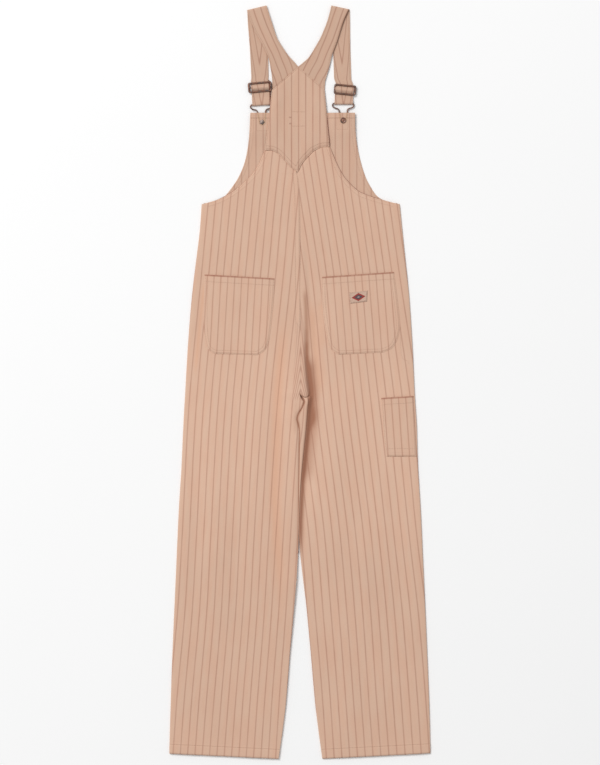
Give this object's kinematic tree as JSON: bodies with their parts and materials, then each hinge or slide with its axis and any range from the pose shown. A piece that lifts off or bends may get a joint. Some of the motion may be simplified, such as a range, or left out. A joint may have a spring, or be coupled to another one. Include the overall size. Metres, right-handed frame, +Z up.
{
  "type": "bib overalls laid flat",
  "caption": "Striped bib overalls laid flat with the back up: bib, pointed yoke, straight legs, patch pockets, and shoulder straps on wire sliders and hooks.",
  "frame": {"origin": "middle of the garment's outline, on the surface it lies on", "axes": "+X to the wearer's right, +Y from the hems to the shoulder folds, +Z up, out of the garment's back"},
  "size_m": [0.5222, 1.506, 0.0131],
  "materials": {
    "striped_twill": "matt cotton twill, peach tan with thin brown-red pinstripes along the grain",
    "twill_inside": "wrong side of the same twill, matt, the stripes a little fainter",
    "strap_twill": "the same twill, doubled and pressed, matt",
    "woven_patch": null,
    "dark_bronze": "antique bronze, nearly black, rubbed brown on the top bars, satin"
  },
  "bodies": {
    "root": {"back_leg_left": "striped_twill", "back_leg_right": "striped_twill", "back_yoke": "striped_twill", "pocket_left": "striped_twill", "pocket_right": "striped_twill", "tool_pocket": "striped_twill", "front_bib": "twill_inside", "front_leg_left": "twill_inside", "front_leg_right": "twill_inside", "strap_left": "strap_twill", "strap_right": "strap_twill", "label_patch": "woven_patch", "slider_left": "dark_bronze", "slider_right": "dark_bronze", "hook_left": "dark_bronze", "hook_right": "dark_bronze", "button_left": "dark_bronze", "button_right": "dark_bronze", "rivet_left": "dark_bronze", "rivet_right": "dark_bronze"}
  },
  "joints": []
}
